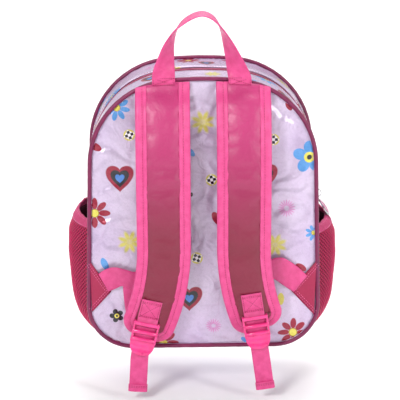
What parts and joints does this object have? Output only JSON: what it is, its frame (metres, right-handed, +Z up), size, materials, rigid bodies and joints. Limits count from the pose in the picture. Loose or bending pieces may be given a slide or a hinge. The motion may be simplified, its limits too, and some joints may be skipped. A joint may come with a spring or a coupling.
{
  "type": "school backpack",
  "caption": "Child-size school backpack with padded shoulder straps, carry loop, zipped front and mesh side pockets.",
  "frame": {"origin": "inside top of the carry loop, where the bag hangs on a hook", "axes": "+Z up, +X towards the zip pull seen from the strap side, -Y towards the shoulder straps and the wearer"},
  "size_m": [0.303, 0.156, 0.4341],
  "materials": {
    "printed_fabric": "pearly coated fabric with a printed pattern of hearts and flowers",
    "foam": "soft open-cell foam",
    "lining": "plain woven lining",
    "zip_tape": "woven tape",
    "zip_coil": "moulded coil",
    "piping": "satin-covered cord",
    "stiffener": "sheet plastic",
    "pocket_mesh": "knitted mesh",
    "elastic_band": "ribbed elastic",
    "tab_fabric": "plain weave",
    "webbing": "ribbed woven webbing",
    "strap_fabric": "satin weave",
    "binding": "folded binding tape",
    "adjuster_plastic": "moulded, semi-gloss",
    "slider_metal": "bright plated",
    "charm_metal": "bright plated",
    "charm_enamel": "domed gloss enamel"
  },
  "bodies": {
    "bag": {"back_panel": "printed_fabric", "back_foam": "foam", "back_lining": "lining", "gusset_lower": "printed_fabric", "gusset_upper_rear": "printed_fabric", "gusset_lining": "lining", "zip_tape_rear": "zip_tape", "zip_coil_rear": "zip_coil", "zip_end_tapes": "zip_tape", "zip_stops": "zip_coil", "front_panel_lower": "printed_fabric", "front_padding_lower": "lining", "back_piping": "piping", "front_piping_lower": "piping", "base_board": "stiffener", "pocket_mesh_left": "pocket_mesh", "pocket_band_left": "elastic_band", "pocket_mesh_right": "pocket_mesh", "pocket_band_right": "elastic_band", "side_tab_left": "tab_fabric", "side_tab_right": "tab_fabric", "anchor_web_left": "webbing", "anchor_web_right": "webbing", "handle_ends": "webbing"},
    "front_flap": {"front_panel_upper": "printed_fabric", "front_padding_upper": "lining", "front_piping_upper": "piping", "gusset_upper_front": "printed_fabric", "zip_tape_front": "zip_tape", "zip_coil_front": "zip_coil"},
    "carry_handle": {"handle_webbing": "webbing"},
    "zip_slider": {"slider_body": "slider_metal"},
    "zip_pull": {"pull_tab": "slider_metal"},
    "pull_ring": {"split_ring": "slider_metal"},
    "charm": {"charm_back": "charm_metal", "charm_face": "charm_enamel"},
    "strap_left": {"strap_foam_left": "foam", "strap_cover_left": "strap_fabric", "strap_binding_left": "binding", "adjuster_keeper_left": "webbing"},
    "adjuster_left": {"adjuster_left": "adjuster_plastic", "threaded_web_left": "webbing"},
    "tail_left": {"tail_web_left": "webbing", "tail_hem_left": "webbing"},
    "strap_right": {"strap_foam_right": "foam", "strap_cover_right": "strap_fabric", "strap_binding_right": "binding", "adjuster_keeper_right": "webbing"},
    "adjuster_right": {"adjuster_right": "adjuster_plastic", "threaded_web_right": "webbing"},
    "tail_right": {"tail_web_right": "webbing", "tail_hem_right": "webbing"}
  },
  "joints": [
    {"name": "front_flap_open", "type": "hinge", "parent": "bag", "child": "front_flap", "pos_m": [0, 0.1223, -0.1848], "axis": [-1, 0, 0], "range_deg": [0, 60]},
    {"name": "carry_handle_fold", "type": "hinge", "parent": "bag", "child": "carry_handle", "pos_m": [0, 0, -0.06981], "axis": [1, 0, 0], "range_deg": [-60, 75], "stiffness_Nm_per_rad": 0.02},
    {"name": "zip_slider_travel", "type": "slide", "parent": "bag", "child": "zip_slider", "axis": [-0.028, 0, 0.9996], "range_m": [0, 0.028]},
    {"name": "zip_pull_swing", "type": "hinge", "parent": "zip_slider", "child": "zip_pull", "pos_m": [0.12902, 0.055, -0.202], "axis": [0, -1, 0], "range_deg": [0, 150]},
    {"name": "pull_ring_swing", "type": "hinge", "parent": "zip_pull", "child": "pull_ring", "pos_m": [0.12902, 0.055, -0.2127], "axis": [0, -1, 0], "range_deg": [0, 12]},
    {"name": "charm_swing", "type": "hinge", "parent": "pull_ring", "child": "charm", "pos_m": [0.13177, 0.055, -0.22076], "axis": [0, -1, 0], "range_deg": [0, 12]},
    {"name": "strap_left_swing", "type": "hinge", "parent": "bag", "child": "strap_left", "pos_m": [-0.044, -0.0015, -0.079], "axis": [-1, 0, 0], "range_deg": [0, 22]},
    {"name": "adjuster_left_tilt", "type": "hinge", "parent": "strap_left", "child": "adjuster_left", "pos_m": [-0.064, -0.02194, -0.344], "axis": [-0.9744, 0, 0.225], "range_deg": [0, 40]},
    {"name": "tail_left_swing", "type": "hinge", "parent": "adjuster_left", "child": "tail_left", "pos_m": [-0.07286, -0.02104, -0.38239], "axis": [-0.9981, 0, 0.061], "range_deg": [-20, 50]},
    {"name": "strap_right_swing", "type": "hinge", "parent": "bag", "child": "strap_right", "pos_m": [0.044, -0.0015, -0.079], "axis": [-1, 0, 0], "range_deg": [0, 22]},
    {"name": "adjuster_right_tilt", "type": "hinge", "parent": "strap_right", "child": "adjuster_right", "pos_m": [0.0565, -0.02329, -0.337], "axis": [-0.9877, 0, -0.1564], "range_deg": [0, 40]},
    {"name": "tail_right_swing", "type": "hinge", "parent": "adjuster_right", "child": "tail_right", "pos_m": [0.06266, -0.02239, -0.37591], "axis": [-0.9903, 0, -0.1392], "range_deg": [-20, 50]}
  ]
}
